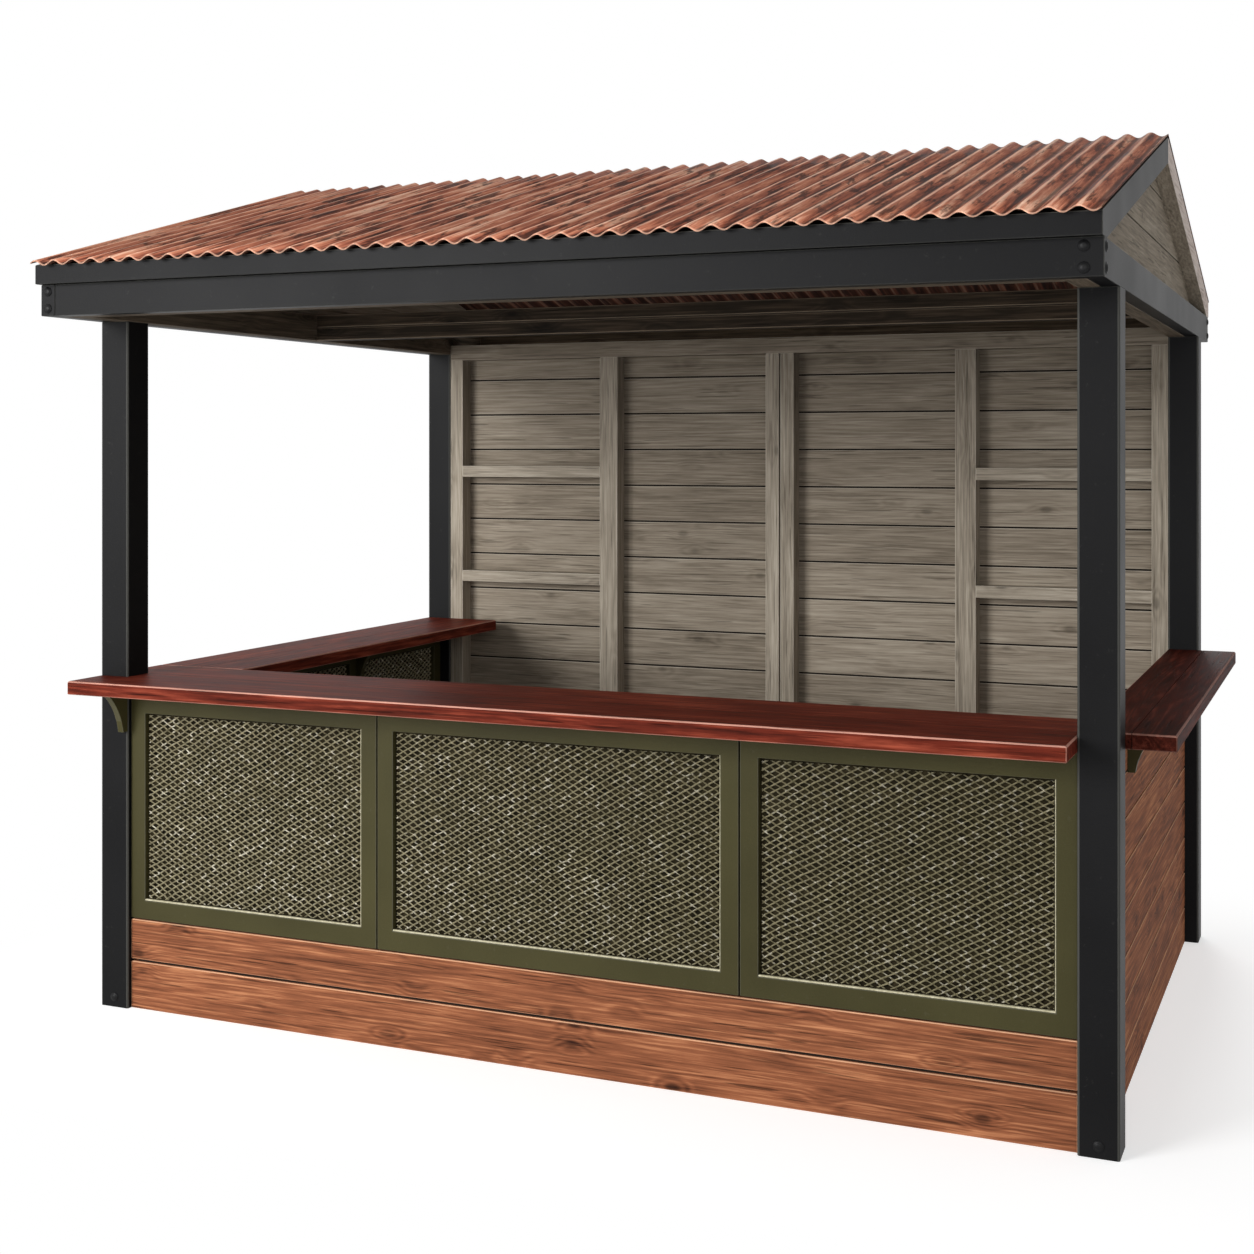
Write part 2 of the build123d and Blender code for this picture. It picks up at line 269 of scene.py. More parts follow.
def timber(name, grain, dark, mid, light, edge, rough=0.75, lines=0.5, knots=1.0, mirror=0.1, wear_and_highlight=0.9,
           top_shade=0.0, fine=140.0):
    """Timber with its grain along x, y or z, shaded from dark through mid to light, edges pale with wear and
    painted highlight.

    With a top shade it is darker high up under the roof, a painted shade. Fine is about how many fibres lie
    in a metre."""
    material, tree = start_material(name)
    spot, board, slid = place(tree)
    cells = {"Vector": stretched(tree, slid, grain, 4.6, 9.0), "Scale": 1.0, "Randomness": 1.0}
    heart = tree.add("ShaderNodeTexVoronoi", {"feature": "F1"}, cells)
    knot = between(tree, heart, 0.14, 0.05) * knots
    halo = between(tree, heart, 0.4, 0.03) * knots
    fibres = noise(tree, stretched(tree, slid, grain, 4.0, fine), detail=4.0, rough=0.7)
    hill = noise(tree, stretched(tree, slid, grain, 0.3, 7.0), detail=2.0) + halo * 0.08
    wave = (hill * 170 + fibres * 2.5).sine() * 0.5 + 0.5
    stain = noise(tree, stretched(tree, slid, grain, 2.4, 9.0), detail=3.0, rough=0.6)
    tone = fibres + stain * 0.4 + board * 0.12 - wave * (0.2 * lines) - halo * 0.14
    colour = ramp(tree, tone + 0.1 * lines - 0.25, (0.15, dark), (0.5, mid), (0.85, light))
    shadow = tuple(0.3 * part for part in dark[:3]) + (1,)
    split = noise(tree, stretched(tree, slid, grain, 4.5, 150.0), detail=1.0)
    crack = between(tree, split, 0.33, 0.26)
    colour = mixed(tree, tree.maths("MAXIMUM", crack * lines, knot * 0.65), colour, shadow)
    fleck = between(tree, split, 0.67, 0.76)
    colour = mixed(tree, fleck * 0.4, colour, light)
    # Rounded edges turn pale, partly wear and partly a painted highlight.
    colour = mixed(tree, arris(tree) * (fibres * 0.9 + 0.2) * wear_and_highlight, colour, edge)
    up = tree.add("ShaderNodeSeparateXYZ", {}, {0: spot}, out=2)
    # Painted shade: darker the higher up under the roof.
    colour = mixed(tree, between(tree, up, TOP_SHADE_START, TOP_SHADE_END) * top_shade, colour, shadow)
    height = fibres * 0.55 - crack * 0.9
    surface(tree, colour, rough + fibres * 0.2 - 0.1, height, 0.0014, mirror=mirror)
    return material


# %% Timbers of the stall
def shades(dark, mid, light, edge):
    """The four colours of a timber, as they look on screen."""
    return {"dark": seen(*dark), "mid": seen(*mid), "light": seen(*light), "edge": seen(*edge)}


weathered = {"lines": 0.4, "knots": 0.6}
grey = shades((88, 79, 67), (140, 129, 114), (176, 166, 150), (204, 194, 178))
wall_timber = timber("grey_timber_x", "x", top_shade=TOP_SHADE, **grey, **weathered)
gable_timber = timber("grey_timber_y", "y", **grey, **weathered)
# Studs and shelves stand forward, so they get a lighter copy of the wall timber: painted light.
lit_grey = shades((84, 75, 63), (153, 143, 128), (196, 186, 170), (214, 205, 190))
stud_timber = {grain: timber("silver_timber_" + grain, grain, top_shade=TOP_SHADE, **lit_grey, **weathered)
               for grain in "xz"}
# Rails, tie beam and ridge are the grey timber made darker, half and deep, as painted shade under the roof.
half_shade_palette = shades((38, 32, 25), (84, 74, 62), (120, 108, 92), (150, 136, 118))
rail_timber = {grain: timber("rail_timber_" + grain, grain, **half_shade_palette) for grain in "xy"}
deep_shade_palette = shades((18, 15, 11), (42, 35, 27), (78, 65, 52), (128, 114, 98))
roof_timber = timber("roof_timber", "x", **deep_shade_palette)
brown = shades((50, 25, 15), (134, 81, 54), (200, 138, 97), (236, 184, 146))
brown_timber = {grain: timber("brown_boards_" + grain, grain, lines=0.6, knots=0.9, **brown)
                for grain in "xy"}
pale = shades((150, 130, 120), (214, 199, 190), (232, 222, 216), (240, 232, 226))
pale_timber = timber("pale_timber", "y", knots=0.3, **pale)

polish = {"rough": 0.5, "knots": 0.0, "lines": 0.6, "fine": 65.0}
red = shades((24, 9, 6), (96, 36, 24), (156, 75, 54), (236, 178, 158))
counter_wood = {grain: timber("counter_wood_" + grain, grain, mirror=0.03, **red, **polish)
                for grain in "xy"}
# The right counter is a darker copy of the counter wood: painted shade.
shaded_red = shades((20, 7, 5), (62, 25, 18), (108, 54, 42), (196, 146, 130))
shaded_counter_wood = timber("counter_wood_shaded", "y", mirror=0.01, wear_and_highlight=0.6, **shaded_red, **polish)
print("timbers", [item.name for item in bpy.data.materials if "paint" not in item.name])

# %% [markdown]
# ## Roof sheets
# The corrugated sheets are red-brown, streaked down the slope, with dark weathered patches. Their crests
# are paler, wear and a painted highlight, and their valleys and one flank of each wave are darker, a painted
# shade. The wave's place is known from x alone, so the same sine that shapes the sheet also tells the finish
# where its crests and valleys are. The streaks read x and y only: height changes down the slope too, and
# would break them into spots. The underside never sees the sun and is the same finish, darkened as painted
# shade.

# %% Roof finish
WAVES = 45
sheet_low, sheet_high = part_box("roof_sheet_front")
wave_pitch = (sheet_high.x - sheet_low.x) / WAVES


def roof_finish(name, shade):
    """Weathered red-brown sheet with streaks down the slope, darkened by a shade from 0 to 1."""
    material, tree = start_material(name)
    spot, board = place(tree)[:2]
    across = tree.add("ShaderNodeSeparateXYZ", {}, {0: spot})
    down = tree.add("ShaderNodeSeparateXYZ", {}, {0: spot}, out=1)
    turns = (across - sheet_low.x) * (2 * math.pi / wave_pitch)
    crest = turns.sine() * 0.5 + 0.5
    flat = tree.add("ShaderNodeCombineXYZ", {}, {0: across, 1: down, 2: board * 23})
    fibres = noise(tree, stretched(tree, flat, "y", 7.0, 200.0), detail=3.0, rough=0.7)
    streaks = noise(tree, stretched(tree, flat, "y", 2.0, 44.0), detail=4.0, rough=0.6, bent=0.2)
    patch = noise(tree, stretched(tree, flat, "y", 5.0, 34.0), detail=4.0, rough=0.65, bent=0.4)
    tone = fibres * 0.7 + streaks * 2.0 + crest * 0.12 - 0.93
    stops = [(0.12, seen(60, 31, 23)), (0.4, seen(158, 90, 68)),
             (0.64, seen(204, 132, 102)), (0.9, seen(236, 190, 162))]
    colour = ramp(tree, tone, *stops)
    weather = between(tree, patch * 0.85 + fibres * 0.2, 0.52, 0.41)
    colour = mixed(tree, weather * 0.82, colour, seen(52, 30, 25))
    # Valleys and one flank of each wave are darkened: painted shade.
    lee_shade = between(tree, tree.maths("COSINE", turns), 0.4, 0.95)
    valley_shade = between(tree, crest, 0.2, 0.0)
    colour = mixed(tree, tree.maths("MAXIMUM", valley_shade * 0.8, lee_shade * 0.7), colour, seen(48, 27, 22))
    # Crests and the eave's cut edge turn pale: wear and a painted highlight.
    wear_and_highlight = between(tree, crest + fibres * 0.12 + streaks * 0.1, 1.03, 1.13)
    cut_edge = between(tree, tree.maths("ABSOLUTE", down), -sheet_low.y - 0.004, -sheet_low.y - 0.001)
    colour = mixed(tree, tree.maths("MAXIMUM", wear_and_highlight * 0.8, cut_edge * 0.4), colour, seen(228, 184, 158))
    colour = mixed(tree, shade, colour, seen(34, 20, 16))
    surface(tree, colour, 0.62 + fibres * 0.25, fibres + streaks * 0.5, 0.0016, mirror=0.12)
    return material


roof_sheet = roof_finish("roof_sheet", 0.0)
roof_underside = roof_finish("roof_underside", 0.75)
print("wave pitch in mm", round(wave_pitch * 1000, 2))

# %% [markdown]
# ## Wire, backing and bolts
# The panels' wire is beige and a little glossy, so that its bends catch the light; small pale spots on it
# are painted glints. Behind it is a dark, patchy backing. The bolts are blackened steel.

# %% Wire, backing and bolt finishes
def plain_finish(name, dark, light, rough, scale, depth, mirror=0.25):
    """A finish of two close colours, mottled at one scale."""
    material, tree = start_material(name)
    slid = place(tree)[2]
    mottle = noise(tree, slid, scale=scale, detail=4.0, rough=0.65)
    colour = ramp(tree, mottle, (0.3, dark), (0.7, light))
    surface(tree, colour, rough + mottle * 0.2 - 0.1, mottle, depth, mirror)
    return material


def wire_coat():
    """Beige coated wire with small painted glints, and a painted shade that makes it duller towards the
    right.
    """
    material, tree = start_material("mesh_wire")
    spot = place(tree)[0]
    mottle = noise(tree, spot, scale=110.0, detail=4.0, rough=0.65)
    # Small pale spots are painted glints.
    glint_spots = between(tree, noise(tree, spot, scale=75.0, detail=1.0), 0.6, 0.68)
    colour = ramp(tree, mottle, (0.3, seen(98, 92, 66)), (0.7, seen(186, 177, 146)))
    colour = mixed(tree, glint_spots * 0.85, colour, seen(236, 231, 214))
    # Towards the right the wire is duller: painted shade.
    across = tree.add("ShaderNodeSeparateXYZ", {}, {0: spot})
    colour = mixed(tree, between(tree, across, -1.4, 1.4) * 0.5, colour, seen(92, 86, 58))
    surface(tree, colour, 0.42 - glint_spots * 0.15, mottle, 0.0014, mirror=0.6)
    return material


wire_finish = wire_coat()
backing_finish = plain_finish("mesh_backing", seen(8, 7, 4), seen(52, 46, 31), 0.85, 38.0, 0.0005,
                              mirror=0.05)
# The beads' pale colour is a painted highlight on the frames' lit inner edges.
bead_highlight_finish = plain_finish("pale_bead", seen(150, 144, 114), seen(196, 190, 164), 0.4, 70.0, 0.0003)
joint_shadow = plain_finish("joint_core", seen(14, 11, 8), seen(30, 24, 18), 0.9, 80.0, 0.0005)
bolt_finish = plain_finish("bolt_steel", seen(8, 8, 9), seen(18, 18, 19), 0.45, 300.0, 0.0001,
                           mirror=0.15)
print("finishes", wire_finish.name, backing_finish.name, bolt_finish.name)

# %% [markdown]
# ## Working on copies of the solids
# A frame solid is loose triangles and is never changed. A copy can be: its doubles are merged and the
# triangles on each flat side dissolve into one face. Then operators can cut and bevel it like any timber.
# Parts that belong together are joined into one object, and each part's board number goes with its points.

# %% Copy and round
SHARP_TURN = math.radians(30)
SQUARE_ON = 0.955
STANDS_UP = 0.2


def copy_of(node):
    """A solid as a bmesh with one face to each flat side."""
    bm = bmesh.new()
    bm.from_mesh(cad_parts[node].data)
    bmesh.ops.remove_doubles(bm, verts=bm.verts, dist=0.00002)
    bmesh.ops.dissolve_limit(bm, angle_limit=math.radians(1), verts=bm.verts, edges=bm.edges)
    return bm


def round_edges(bm, width, below=0.4, upright=1.0, crisp=None):
    """Bevels every edge that turns sharply, and marks the faces of rounded edges.

    Those that look down or stand upright have marks of their own, since the marks carry a painted highlight
    as well as wear. Crisp tells which edges stay sharp."""
    sharp = [edge for edge in bm.edges if edge.is_manifold and edge.calc_face_angle() > SHARP_TURN]
    if crisp:
        sharp = [edge for edge in sharp if not crisp(edge)]
    mark = bm.faces.layers.float.new("arris")
    narrow = bmesh.ops.bevel(bm, geom=sharp, offset=width, offset_type="OFFSET", segments=2, profile=0.5,
                             affect="EDGES", material=-1, clamp_overlap=True)
    bm.normal_update()
    slanted = {face for face in bm.faces if max(abs(part) for part in face.normal) < SQUARE_ON}
    for face in slanted.union(narrow["faces"]):
        # Edges that look up get the full pale mark and those that look down less: a painted highlight.
        if abs(face.normal.z) < STANDS_UP:
            face[mark] = upright
        else:
            face[mark] = 1 if face.normal.z > 0 else below


def block(low, high, width=0.0):
    """A squared bar between two corners, with rounded edges."""
    bm = bmesh.new()
    bmesh.ops.create_cube(bm, size=1)
    size = [b - a for a, b in zip(low, high)]
    middle = [(a + b) / 2 for a, b in zip(low, high)]
    bmesh.ops.scale(bm, vec=size, verts=bm.verts)
    bmesh.ops.translate(bm, vec=middle, verts=bm.verts)
    if width:
        round_edges(bm, width)
    return bm


print("edges that turn more than", round(math.degrees(SHARP_TURN)), "degrees are rounded")

# %% Join parts into a piece
LOOKS_DOWN = -0.5


def board_number(name, index):
    """A fixed number from 0 to 1 for each board."""
    return random.Random(name + str(index)).random()


def piece(name, parts, material, slot, *nodes, smooth=False, under=None):
    """Joins parts into one object that rides with the stall and stands for these solids."""
    whole = bmesh.new()
    numbers, marks = [], []
    for index, part in enumerate(parts):
        mark = part.faces.layers.float.get("arris")
        marks += [face[mark] if mark else 0 for face in part.faces]
        mesh = bpy.data.meshes.new("part")
        part.to_mesh(mesh)
        part.free()
        whole.from_mesh(mesh)
        numbers += [board_number(name, index)] * len(mesh.vertices)
        bpy.data.meshes.remove(mesh)
    for face in whole.faces:
        face.smooth = smooth
        face.material_index = 1 if under and face.normal.z < LOOKS_DOWN else 0
    mesh = bpy.data.meshes.new(name)
    whole.to_mesh(mesh)
    whole.free()
    for label, domain, values in (("board", "POINT", numbers), ("arris", "FACE", marks)):
        if label in mesh.attributes:
            mesh.attributes.remove(mesh.attributes[label])
        mesh.attributes.new(label, "FLOAT", domain).data.foreach_set("value", values)
    mesh.materials.append(material)
    if under:
        mesh.materials.append(under)
    obj = bpy.data.objects.new(name, mesh)
    bpy.context.collection.objects.link(obj)
    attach(obj, "root")
    if nodes:
        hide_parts(*nodes)
    print(name, "parts", len(parts), "faces", len(mesh.polygons))


print("some board numbers", [round(board_number("board", index), 3) for index in range(4)])

# %% [markdown]
# ## Cutting a slab into boards
# The walls, plinths, gables and counters are slabs in the frame and boards on the real stall. Drawing each
# board by hand would lose the slopes of the gables and the notch round the post. Instead each board is a
# copy of the slab, cut off at its two joints with a bisecting plane. A thin core behind the joints keeps
# daylight out, as a tongue and groove does.

# %% Cut and close
def all_of(bm):
    """All points, edges and faces, as a cut takes them."""
    return bm.verts[:] + bm.edges[:] + bm.faces[:]


def cut_away(bm, axis, at, keep_above):
    """Cuts everything off on one side of a plane across an axis, and closes the cut."""
    normal = [0, 0, 0]
    normal[axis] = 1
    spot = [0, 0, 0]
    spot[axis] = at
    cut = bmesh.ops.bisect_plane(bm, geom=all_of(bm), dist=0.00001, plane_co=spot, plane_no=normal,
                                 clear_inner=keep_above, clear_outer=not keep_above)
    edges = [item for item in cut["geom_cut"] if isinstance(item, bmesh.types.BMEdge)]
    if edges:
        bmesh.ops.edgeloop_fill(bm, edges=edges)
        bmesh.ops.recalc_face_normals(bm, faces=bm.faces)


# %% Boards from a slab
CORE_LENGTH = 0.985
CORE_THICKNESS = 0.4
cores = []


def boards_of(node, axis, joints, through, gap=0.006, width=0.0022, joint_wear_and_highlight=1.0, below=0.4, upright=1.0,
              crisp_joints=False):
    """The boards of a slab between joints along one axis. The core behind them is kept for later.

    A joint's arrises get less of the pale mark of wear and painted highlight, by a factor of their own, and
    crisp joints keep them sharp."""
    low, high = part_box(node)
    stops = [low[axis], *joints, high[axis]]
    boards = []

    def at_joint(edge):
        return any(all(abs(vert.co[axis] - joint) < gap for vert in edge.verts) for joint in joints)

    for start, end in zip(stops, stops[1:]):
        board = copy_of(node)
        if start != stops[0]:
            cut_away(board, axis, start + gap / 2, True)
        if end != stops[-1]:
            cut_away(board, axis, end - gap / 2, False)
        round_edges(board, width, below, upright, at_joint if crisp_joints else None)
        mark = board.faces.layers.float["arris"]
        for face in board.faces:
            middle = face.calc_center_median()[axis]
            if any(abs(middle - joint) < gap + width for joint in joints):
                face[mark] *= joint_wear_and_highlight
        boards.append(board)
    core = copy_of(node)
    shrink = [CORE_LENGTH] * 3
    shrink[through] = CORE_THICKNESS
    middle = (low + high) / 2
    bmesh.ops.scale(core, vec=shrink, verts=core.verts, space=Matrix.Translation(-middle))
    cores.append(core)
    return boards


def even_joints(low, high, count):
    """The joints between a count of equal boards."""
    return [low + (high - low) * index / count for index in range(1, count)]


print("joints of four boards in a metre", even_joints(0, 1, 4))

# %% [markdown]
# ## Posts, beams and roof timbers
# These are single timbers, and their solids already have the right shape. A real timber has no knife edge,
# so each copy gets a small bevel. The thin light line along its arris is partly wear and partly a painted
# highlight on the bevel. The front beam's left end is a short block of its own, so that beam is cut in two
# like a boarded slab.

# %% Painted timbers
PAINTED_EDGE = 0.0018
END_BLOCK = 0.05
posts = ["post_front_left", "post_front_right", "post_back_left", "post_back_right"]
beams = ["front_beam", "back_beam", "left_beam", "right_beam"]
eaves = ["front_eave_strip", "back_eave_strip", "bargeboard_front_left", "bargeboard_front_right"]
for node in posts + beams + eaves:
    if node == "front_beam":
        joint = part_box(node)[0].x + END_BLOCK
        bars = boards_of(node, 0, [joint], 1, gap=0.0015, width=PAINTED_EDGE, joint_wear_and_highlight=0.3)
    else:
        bars = [copy_of(node)]
        round_edges(bars[0], PAINTED_EDGE)
    piece(node + "_painted", bars, charcoal, "charcoal_paint", node)

# %% Bare timbers under the roof
BARE_EDGE = 0.002
bare = {"front_rail": rail_timber["x"], "back_rail": rail_timber["x"], "left_rail": rail_timber["y"],
        "right_rail": rail_timber["y"], "ridge_beam": roof_timber}
for node, finish in bare.items():
    bar = copy_of(node)
    round_edges(bar, BARE_EDGE)
    piece(node + "_timber", [bar], finish, "grey_timber", node)
low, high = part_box("tie_beam")
# The tie beam's lower arrises take the full pale mark: a painted highlight along its bottom edge.
tie_boards = boards_of("tie_beam", 2, even_joints(low.z, high.z, 2), 1, gap=0.002, width=0.003, below=1.0)
piece("tie_beam_timber", tie_boards, roof_timber, "grey_timber", "tie_beam")
for node in ("bargeboard_back_left", "bargeboard_back_right"):
    bar = copy_of(node)
    round_edges(bar, PAINTED_EDGE)
    piece(node + "_pale", [bar], pale_timber, "pale_timber", node, under=gable_timber)

# %% [markdown]
# ## Corrugated sheets
# A corrugated sheet is a flat sheet pressed into a wave. So is this one: a fine flat grid is laid on the
# slope, each point is lifted by the wave at its x, and the skin is then given its thickness. The back slope
# is the same sheet mirrored across the ridge, with its faces turned outwards again.

# %% Roof sheets
ROOF_SLOPE = math.tan(math.radians(15.8))
WAVE_SWING = 0.007
SHEET_THICKNESS = 0.004
ridge_z = sheet_high.z - SHEET_THICKNESS - 2 * WAVE_SWING


def roof_skin():
    """The front slope's sheet."""
    bm = bmesh.new()
    bmesh.ops.create_grid(bm, x_segments=WAVES * 12, y_segments=8, size=0.5)
    size = sheet_high - sheet_low
    bmesh.ops.scale(bm, vec=(size.x, size.y, 1), verts=bm.verts)
    bmesh.ops.translate(bm, vec=(sheet_low.x + size.x / 2, sheet_low.y + size.y / 2, 0), verts=bm.verts)
    for vert in bm.verts:
        wave = math.sin(2 * math.pi * (vert.co.x - sheet_low.x) / wave_pitch)
        vert.co.z = ridge_z + vert.co.y * ROOF_SLOPE + WAVE_SWING * (1 + wave)
    thick = bmesh.ops.extrude_face_region(bm, geom=bm.faces[:])
    upper = [item for item in thick["geom"] if isinstance(item, bmesh.types.BMVert)]
    bmesh.ops.translate(bm, vec=(0, 0, SHEET_THICKNESS), verts=upper)
    bmesh.ops.recalc_face_normals(bm, faces=bm.faces)
    return bm


front_skin = roof_skin()
back_skin = roof_skin()
bmesh.ops.scale(back_skin, vec=(1, -1, 1), verts=back_skin.verts)
bmesh.ops.recalc_face_normals(back_skin, faces=back_skin.faces)
piece("roof_sheet_front_waves", [front_skin], roof_sheet, "roof_sheet", "roof_sheet_front", smooth=True,
      under=roof_underside)
piece("roof_sheet_back_waves", [back_skin], roof_sheet, "roof_sheet", "roof_sheet_back", smooth=True,
      under=roof_underside)

# %% [markdown]
# ## Boarded walls
# The back wall has 15 boards, the right wall 8 and each plinth 2. The gables' boards follow the roof's
# slopes, because they are cut from the gable's own solid. A dark strip inside the back wall shuts the seam
# between its two halves.

# %% Back wall
WALL_BOARDS = 15
STUD_SEAM = 0.003
STRIP_REACH = 0.03
STRIP_INSET = 0.006
STRIP_DROP = 0.01
low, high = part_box("back_wall_left_boards")
middle_x = high.x
strip_low = (middle_x - STRIP_REACH, low.y + STRIP_INSET, low.z)
strip_high = (middle_x + STRIP_REACH, high.y - STRIP_INSET, high.z - STRIP_DROP)
cores.append(block(strip_low, strip_high))
for side in ("left", "right"):
    node = "back_wall_" + side + "_boards"
    boards = boards_of(node, 2, even_joints(low.z, high.z, WALL_BOARDS), 1)
    piece(node + "_cut", boards, wall_timber, "grey_timber", node)
    node = "back_wall_" + side + "_studs"
    studs = copy_of(node)
    is_right = side == "right"
    cut_away(studs, 0, middle_x + (STUD_SEAM if is_right else -STUD_SEAM), is_right)
    round_edges(studs, BARE_EDGE)
    piece(node + "_timber", [studs], stud_timber["z"], "grey_timber", node)
for node, finish in (("back_wall_top_plate", wall_timber), ("back_wall_shelves", stud_timber["x"])):
    bars = copy_of(node)
    round_edges(bars, BARE_EDGE)
    piece(node + "_timber", [bars], finish, "grey_timber", node)

# %% Gables, right wall and plinths
GABLE_BOARD = 0.145
RIGHT_WALL_BOARDS = 8
PLINTH_JOINT = 0.145
low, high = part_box("gable_left")
for side in ("left", "right"):
    node = "gable_" + side
    joints = [low.z + GABLE_BOARD, low.z + 2 * GABLE_BOARD]
    piece(node + "_boards", boards_of(node, 2, joints, 0), gable_timber, "grey_timber", node)
low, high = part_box("right_wall")
boards = boards_of("right_wall", 2, even_joints(low.z, high.z, RIGHT_WALL_BOARDS), 0)
piece("right_wall_boards", boards, brown_timber["y"], "brown_boards", "right_wall")
for node, grain, through in (("front_plinth", "x", 1), ("left_plinth", "y", 0)):
    boards = boards_of(node, 2, [PLINTH_JOINT], through, gap=0.007, width=0.0028)
    piece(node + "_boards", boards, brown_timber[grain], "brown_boards", node)

# %% [markdown]
# ## Counters
# Each counter is planks glued side by side. The solid carries the rounded front arris, and the cut planks
# keep it. Glued joints are tight, so their edges stay crisp and only a hairline shows.

# %% Counter planks
for node, axis, share, finish in (("front_counter", 1, 0.55, counter_wood["x"]),
                                  ("left_counter", 0, 0.5, counter_wood["y"]),
                                  ("right_counter", 0, 0.52, shaded_counter_wood)):
    low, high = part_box(node)
    joint = low[axis] + (high[axis] - low[axis]) * share
    planks = boards_of(node, axis, [joint], 2, gap=0.0018, width=0.0025, upright=0.4, crisp_joints=True)
    piece(node + "_planks", planks, finish, "counter_wood", node)

# %% [markdown]
# ## Panel frames
# A frame is a slab with a window. The slab starts as a cube, four cuts mark the window on its faces, the
# two window faces are deleted, and bridging the two open loops makes the inner sides. A bevel then softens
# every edge. Neighbouring frames only meet at a thin dark seam, and another runs along the plinth's top.

# %% Panel frames
STILE = 0.052
BOTTOM_RAIL = 0.06
TOP_RAIL = 0.07
SEAM = 0.004
SEAM_CORE_INSET = 0.012
FRAME_EDGE = 0.002


def window(low, high, run):
    """The corners of a panel's window, whose width runs along axis 0 or 1."""
    low = Vector(low) + Vector((0, 0, BOTTOM_RAIL))
    high = Vector(high) - Vector((0, 0, TOP_RAIL))
    low[run] += STILE
    high[run] -= STILE
    return low, high


def frame_round(low, high, inner_low, inner_high, run, width):
    """A slab between two corners with a window between two inner ones."""
    bm = block(low, high)
    across = 1 - run
    for axis in (run, 2):
        for corner in (inner_low, inner_high):
            normal = [0, 0, 0]
            normal[axis] = 1
            bmesh.ops.bisect_plane(bm, geom=all_of(bm), plane_co=corner, plane_no=normal)
    panes = []
    for face in bm.faces:
        middle = face.calc_center_median()
        inside = all(inner_low[axis] < middle[axis] < inner_high[axis] for axis in (run, 2))
        if inside and abs(face.normal[across]) > 0.9:
            panes.append(face)
    loops = [edge for pane in panes for edge in pane.edges]
    bmesh.ops.delete(bm, geom=panes, context="FACES_ONLY")
    bmesh.ops.bridge_loops(bm, edges=loops)
    bmesh.ops.recalc_face_normals(bm, faces=bm.faces)
    round_edges(bm, width)
    return bm


def panel_row(nodes, run):
    """The frames of a row of panels with thin seams between them, and a dark core behind each seam."""
    across = 1 - run
    ends = [side[run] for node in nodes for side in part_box(node)]
    for node in nodes:
        low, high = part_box(node)
        inner_low, inner_high = window(low, high, run)
        core_low, core_high = Vector(low), Vector(high)
        core_low[across] += SEAM_CORE_INSET
        core_high[across] -= SEAM_CORE_INSET
        core_high.z = low.z + 2 * SEAM
        cores.append(block(core_low, core_high))
        low.z += SEAM
        if low[run] > min(ends):
            core_low[run] = low[run] - SEAM
            core_high[run] = low[run] + SEAM
            core_high.z = high.z
            cores.append(block(core_low, core_high))
            low[run] += SEAM / 2
        if high[run] < max(ends):
            high[run] -= SEAM / 2
        bars = frame_round(low, high, inner_low, inner_high, run, FRAME_EDGE)
        piece(node + "_frame", [bars], olive, "green_paint", node)


front_panels = ["front_panel_left", "front_panel_middle", "front_panel_right"]
left_panels = ["left_panel_1", "left_panel_2", "left_panel_3"]
panel_row(front_panels, 0)
panel_row(left_panels, 1)

# %% [markdown]
# ## Joint cores and brackets
# The dark cores that were kept from every slab and panel become one piece. The brackets under the counters
# have a hollow long edge. Their solid already has that curve, so a copy of it only needs its edges rounded.

# %% Joint cores and brackets
BRACKET_EDGE = 0.0012
piece("joint_cores", cores, joint_shadow, "grey_timber")
brackets = copy_of("counter_brackets")
round_edges(brackets, BRACKET_EDGE)
piece("counter_brackets_painted", [brackets], olive, "green_paint", "counter_brackets")

# %% [markdown]
# ## Wire mesh
# The infill is flat strands in diamonds about 31 mm wide and 18 mm high, none of them quite straight. One
# strand is a small ring pushed along a diagonal, step by step, up at one crossing and down at the next.
# Copies of it side by side make one direction, their mirror image, a little thinner, the other. A slow bend
# and small kinks then move the whole cloth a little, and four cuts trim it to the window and leave its ends
# to be closed. Bends and kinks come from a noise that starts from a new place in each session unless it is
# given a seed. A dark backing sheet fills the middle, and both of its faces carry mesh. The photograph shows
# a pale bead along the bottom and the right of each window; here it is a painted highlight on those sides.

# %% Wire mesh
CELL_WIDTH = 0.031
CELL_HEIGHT = 0.018
STRAND = 0.004
UNLIKE = 0.12
WEAVE = 0.002
BORDER = 0.006
BENDS_PER_METRE = 8
BEND = 0.005
KINKS_PER_METRE = 45
KINK = 0.0016
WANDER_SEED = 7
seed_set(WANDER_SEED)


def one_strand(height, way, lift):
    """A strand from z = 0 up to the height, leaning one way, in the xz plane, weaving in y."""
    bm = bmesh.new()
    ring = bmesh.ops.create_circle(bm, segments=4, radius=STRAND * (1 + UNLIKE * way))["verts"]
    bmesh.ops.translate(bm, vec=(0, lift * WEAVE, 0), verts=ring)
    edges = bm.edges[:]
    for step in range(math.ceil(2 * height / CELL_HEIGHT) + 1):
        grown = bmesh.ops.extrude_edge_only(bm, edges=edges)["geom"]
        edges = [item for item in grown if isinstance(item, bmesh.types.BMEdge)]
        ring = [item for item in grown if isinstance(item, bmesh.types.BMVert)]
        lift = -lift
        bmesh.ops.translate(bm, vec=(way * CELL_WIDTH / 2, 2 * lift * WEAVE, CELL_HEIGHT / 2), verts=ring)
    mesh = bpy.data.meshes.new("strand")
    bm.to_mesh(mesh)
    bm.free()
    return mesh


